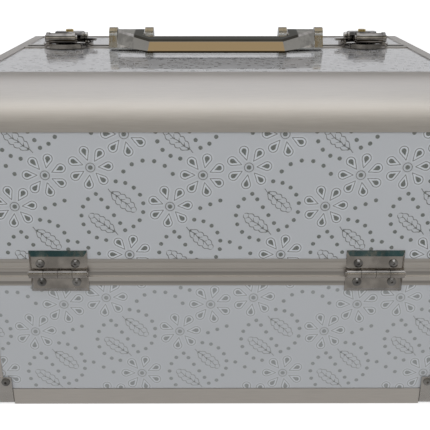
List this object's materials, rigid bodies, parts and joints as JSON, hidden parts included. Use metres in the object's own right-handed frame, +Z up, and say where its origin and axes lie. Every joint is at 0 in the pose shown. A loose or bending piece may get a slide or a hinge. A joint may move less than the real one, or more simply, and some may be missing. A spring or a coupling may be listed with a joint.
{
  "type": "sewing box with trays",
  "caption": "Hard sewing case with aluminium edging, two outward-opening lids, swing-out trays on linked arms, a folding handle and key latches.",
  "frame": {"origin": "floor level, under the middle of the box", "axes": "+X to the right along the hinges, -Y towards the lid with the handle, +Z up"},
  "size_m": [0.3442, 0.273, 0.2657],
  "materials": {
    "patterned_laminate": "glossy white laminate with a grey floral line pattern",
    "floor_board": "matte dark board",
    "rounded_rail": "satin anodised, brushed lengthwise",
    "edging": "satin anodised",
    "rim_rail": "satin anodised, finely ribbed on the lids",
    "corner_fitting": "polished nickel",
    "lining": "short black velvet",
    "hinge_plate": "nickel plated",
    "rivet": "polished nickel, hollow",
    "pivot_rivet": "nickel plated",
    "arm_steel": "nickel plated strip",
    "handle_chrome": "polished chrome with bevelled edges",
    "fitting_chrome": "polished chrome",
    "lock_brass": "polished brass",
    "tray_divider": "velvet-covered board",
    "tray_shell": "silver grey laminate"
  },
  "bodies": {
    "base": {"base_long_panels": "patterned_laminate", "base_end_panels": "patterned_laminate", "base_floor": "floor_board", "base_corner_posts": "edging", "base_bottom_rails": "rim_rail", "base_rim_rails": "rim_rail", "corner_protectors": "corner_fitting", "base_rivets": "rivet", "base_lining": "lining", "base_hinge_leaves": "hinge_plate", "hinge_pins": "hinge_plate", "arm_brackets": "arm_steel", "arm_pivot_rivets": "pivot_rivet"},
    "front_lid": {"front_lid_long_panel": "patterned_laminate", "front_lid_top_panel": "patterned_laminate", "front_lid_end_panels": "patterned_laminate", "front_lid_edge_rail": "rounded_rail", "front_lid_end_frames": "edging", "front_lid_seam_rail": "edging", "front_lid_rim_rails": "rim_rail", "front_lid_hinge_leaves": "hinge_plate", "front_lid_rivets": "rivet", "front_lid_lining": "lining", "front_lid_pivot_studs": "pivot_rivet", "handle_brackets": "fitting_chrome", "handle_pins": "fitting_chrome", "latch_keepers": "fitting_chrome"},
    "back_lid": {"back_lid_long_panel": "patterned_laminate", "back_lid_top_panel": "patterned_laminate", "back_lid_end_panels": "patterned_laminate", "back_lid_edge_rail": "rounded_rail", "back_lid_end_frames": "edging", "back_lid_seam_rail": "edging", "back_lid_rim_rails": "rim_rail", "back_lid_hinge_leaves": "hinge_plate", "back_lid_rivets": "rivet", "back_lid_lining": "lining", "back_lid_pivot_studs": "pivot_rivet", "latch_bases": "fitting_chrome"},
    "handle": {"handle_bar": "handle_chrome"},
    "left_latch_lever": {"latch_lever_left": "fitting_chrome"},
    "right_latch_lever": {"latch_lever_right": "fitting_chrome"},
    "left_lock_cylinder": {"lock_cylinder_left": "lock_brass"},
    "right_lock_cylinder": {"lock_cylinder_right": "lock_brass"},
    "front_upper_tray": {"front_upper_tray": "tray_shell", "front_upper_dividers": "tray_divider", "front_upper_tray_rivets": "pivot_rivet"},
    "front_lower_tray": {"front_lower_tray": "tray_shell", "front_lower_dividers": "tray_divider", "front_lower_tray_rivets": "pivot_rivet"},
    "back_upper_tray": {"back_upper_tray": "tray_shell", "back_upper_dividers": "tray_divider", "back_upper_tray_rivets": "pivot_rivet"},
    "back_lower_tray": {"back_lower_tray": "tray_shell", "back_lower_tray_rivets": "pivot_rivet"},
    "front_long_arms": {"front_long_arms": "arm_steel"},
    "front_short_arms": {"front_short_arms": "arm_steel"},
    "back_long_arms": {"back_long_arms": "arm_steel"},
    "back_short_arms": {"back_short_arms": "arm_steel"}
  },
  "joints": [
    {"name": "front_lid_hinge", "type": "hinge", "parent": "base", "child": "front_lid", "pos_m": [0, -0.1334, 0.1135], "axis": [1, 0, 0], "range_deg": [0, 90]},
    {"name": "front_long_arm_pivot", "type": "hinge", "parent": "base", "child": "front_long_arms", "pos_m": [0, -0.05, 0.1135], "axis": [1, 0, 0], "range_deg": [-2, 92]},
    {"name": "front_short_arm_pivot", "type": "hinge", "parent": "base", "child": "front_short_arms", "pos_m": [0, -0.107, 0.1135], "axis": [1, 0, 0], "range_deg": [-2, 92]},
    {"name": "front_upper_tray_pivot", "type": "hinge", "parent": "front_lid", "child": "front_upper_tray", "pos_m": [0, -0.0694, 0.1835], "axis": [1, 0, 0], "range_deg": [-92, 2]},
    {"name": "front_lower_tray_pivot", "type": "hinge", "parent": "front_long_arms", "child": "front_lower_tray", "pos_m": [0, -0.018, 0.1485], "axis": [1, 0, 0], "range_deg": [-92, 2]},
    {"name": "back_lid_hinge", "type": "hinge", "parent": "base", "child": "back_lid", "pos_m": [0, 0.1334, 0.1135], "axis": [-1, 0, 0], "range_deg": [0, 90]},
    {"name": "back_long_arm_pivot", "type": "hinge", "parent": "base", "child": "back_long_arms", "pos_m": [0, 0.11, 0.1135], "axis": [-1, 0, 0], "range_deg": [-2, 92]},
    {"name": "back_short_arm_pivot", "type": "hinge", "parent": "base", "child": "back_short_arms", "pos_m": [0, 0.08, 0.1135], "axis": [-1, 0, 0], "range_deg": [-2, 92]},
    {"name": "back_upper_tray_pivot", "type": "hinge", "parent": "back_lid", "child": "back_upper_tray", "pos_m": [0, 0.0694, 0.1835], "axis": [-1, 0, 0], "range_deg": [-92, 2]},
    {"name": "back_lower_tray_pivot", "type": "hinge", "parent": "back_long_arms", "child": "back_lower_tray", "pos_m": [0, 0.078, 0.1485], "axis": [-1, 0, 0], "range_deg": [-92, 2]},
    {"name": "handle_pivot", "type": "hinge", "parent": "front_lid", "child": "handle", "pos_m": [0, 0.02, 0.2597], "axis": [-1, 0, 0], "range_deg": [0, 98]},
    {"name": "left_latch_pivot", "type": "hinge", "parent": "back_lid", "child": "left_latch_lever", "pos_m": [-0.126, 0.0482, 0.2558], "axis": [-1, 0, 0], "range_deg": [0, 100]},
    {"name": "left_lock_turn", "type": "hinge", "parent": "left_latch_lever", "child": "left_lock_cylinder", "pos_m": [-0.126, 0.0407, 0.257], "axis": [0, 0, 1], "range_deg": [0, 90]},
    {"name": "right_latch_pivot", "type": "hinge", "parent": "back_lid", "child": "right_latch_lever", "pos_m": [0.126, 0.0482, 0.2558], "axis": [-1, 0, 0], "range_deg": [0, 100]},
    {"name": "right_lock_turn", "type": "hinge", "parent": "right_latch_lever", "child": "right_lock_cylinder", "pos_m": [0.126, 0.0407, 0.257], "axis": [0, 0, 1], "range_deg": [0, 90]}
  ],
  "couplings": [
    {"joint": "front_long_arm_pivot", "follows": "front_lid_hinge", "ratio": 1},
    {"joint": "front_short_arm_pivot", "follows": "front_lid_hinge", "ratio": 1},
    {"joint": "front_upper_tray_pivot", "follows": "front_lid_hinge", "ratio": -1},
    {"joint": "front_lower_tray_pivot", "follows": "front_lid_hinge", "ratio": -1},
    {"joint": "back_long_arm_pivot", "follows": "back_lid_hinge", "ratio": 1},
    {"joint": "back_short_arm_pivot", "follows": "back_lid_hinge", "ratio": 1},
    {"joint": "back_upper_tray_pivot", "follows": "back_lid_hinge", "ratio": -1},
    {"joint": "back_lower_tray_pivot", "follows": "back_lid_hinge", "ratio": -1}
  ]
}
